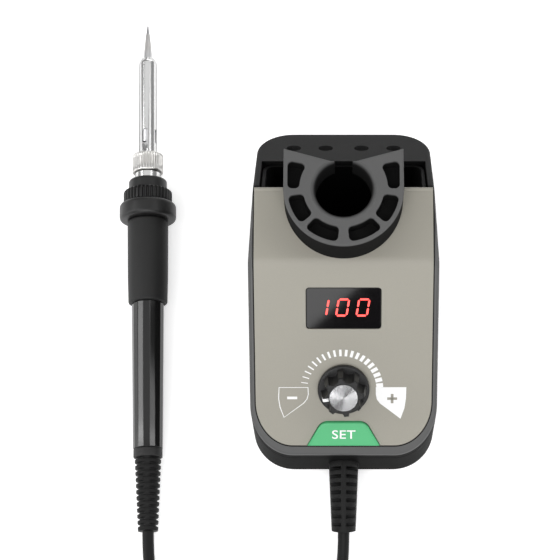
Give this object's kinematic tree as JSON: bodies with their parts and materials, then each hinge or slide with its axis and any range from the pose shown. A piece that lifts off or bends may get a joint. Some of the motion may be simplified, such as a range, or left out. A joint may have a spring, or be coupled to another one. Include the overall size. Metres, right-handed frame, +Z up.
{
  "type": "soldering iron station",
  "caption": "Wedge-shaped soldering station with display, control knob, SET button and iron rest, joined by its cord to a soldering iron lying beside it.",
  "frame": {"origin": "on the table, under the middle of the station's footprint", "axes": "+Z up, -Y towards the user and the sloping panel's lower edge, +X to the user's right"},
  "size_m": [0.1412, 0.3348, 0.1001],
  "materials": {
    "top_shell": "fine moulded texture",
    "case": "fine moulded texture",
    "base": "moulded",
    "rubber": "matte",
    "screw_steel": "zinc plated",
    "well": "moulded",
    "panel": "satin grey-beige paint",
    "window": "polished",
    "display": "moulded",
    "board": "solder mask",
    "pot_metal": "plated",
    "knob_black": "satin",
    "pointer_white": "printed",
    "cap_metal": "spun",
    "button_green": "satin silicone",
    "switch_black": "moulded",
    "holder_grey": "matte",
    "core_steel": "varnished laminations",
    "coil_tape": "taped winding",
    "inlet_black": "moulded",
    "pin_brass": "bright",
    "rocker_black": "satin",
    "relief_black": "moulded",
    "cord_black": "smooth jacket",
    "tie_black": "strap",
    "handle_gloss": "polished flats",
    "ring_matte": "matte",
    "grip_soft": "soft foam-like",
    "guard_black": "moulded",
    "socket_metal": "bright",
    "ceramic": "ceramic",
    "nut_metal": "knurled",
    "barrel_steel": "bright stainless",
    "tip_plated": "plated copper"
  },
  "bodies": {
    "station": {"top_shell": "top_shell", "bottom_case": "case", "base_plate": "base", "rubber_feet": "rubber", "case_screws": "screw_steel", "board_screws": "screw_steel", "holder_screws": "screw_steel", "transformer_screws": "screw_steel", "well_liner": "well", "front_panel": "panel", "display_window": "window", "led_display": "display", "control_board": "board", "potentiometer": "pot_metal", "pot_nut": "pot_metal", "set_switch": "switch_black", "iron_holder": "holder_grey", "transformer_core": "core_steel", "transformer_coil": "coil_tape", "power_inlet": "inlet_black", "rocker_housing": "inlet_black", "inlet_pins": "pin_brass", "station_strain_relief": "relief_black", "cord_coil": "cord_black", "cord_station_run": "cord_black", "cord_iron_run": "cord_black", "cord_tie": "tie_black"},
    "knob": {"knob": "knob_black", "knob_pointer": "pointer_white", "knob_cap": "cap_metal", "pot_shaft": "pot_metal"},
    "set_button": {"set_button": "button_green"},
    "power_rocker": {"power_rocker": "rocker_black"},
    "iron": {"iron_strain_relief": "relief_black", "handle_end_ring": "ring_matte", "handle": "handle_gloss", "grip": "grip_soft", "finger_guard": "guard_black", "nose_collar": "guard_black", "barrel_socket": "socket_metal", "heater": "ceramic"},
    "sleeve": {"tip_sleeve": "barrel_steel", "soldering_tip": "tip_plated"},
    "nut": {"sleeve_nut": "nut_metal"}
  },
  "joints": [
    {"name": "knob_turn", "type": "hinge", "parent": "station", "child": "knob", "pos_m": [0, -0.04773, 0.04633], "axis": [0, 0.6157, -0.788], "range_deg": [0, 200]},
    {"name": "set_press", "type": "slide", "parent": "station", "child": "set_button", "axis": [0, 0.6157, -0.788], "range_m": [0, 0.001], "stiffness_N_per_m": 800},
    {"name": "rocker_flip", "type": "hinge", "parent": "station", "child": "power_rocker", "pos_m": [0.016, 0.07, 0.02], "axis": [-1, 0, 0], "range_deg": [0, 20]},
    {"name": "iron_lift", "type": "slide", "parent": "station", "child": "iron", "axis": [0, 0, 1], "range_m": [0, 0.06]},
    {"name": "sleeve_slide", "type": "slide", "parent": "iron", "child": "sleeve", "axis": [-0.0314, 0.9978, 0.0576], "range_m": [0, 0.004]},
    {"name": "nut_turn", "type": "hinge", "parent": "sleeve", "child": "nut", "pos_m": [-0.08967, 0.06814, 0.01427], "axis": [-0.0314, 0.9978, 0.0576], "range_deg": [0, 1440]}
  ],
  "couplings": [
    {"joint": "nut_turn", "follows": "sleeve_slide", "rad_per_m": 6283.2}
  ]
}
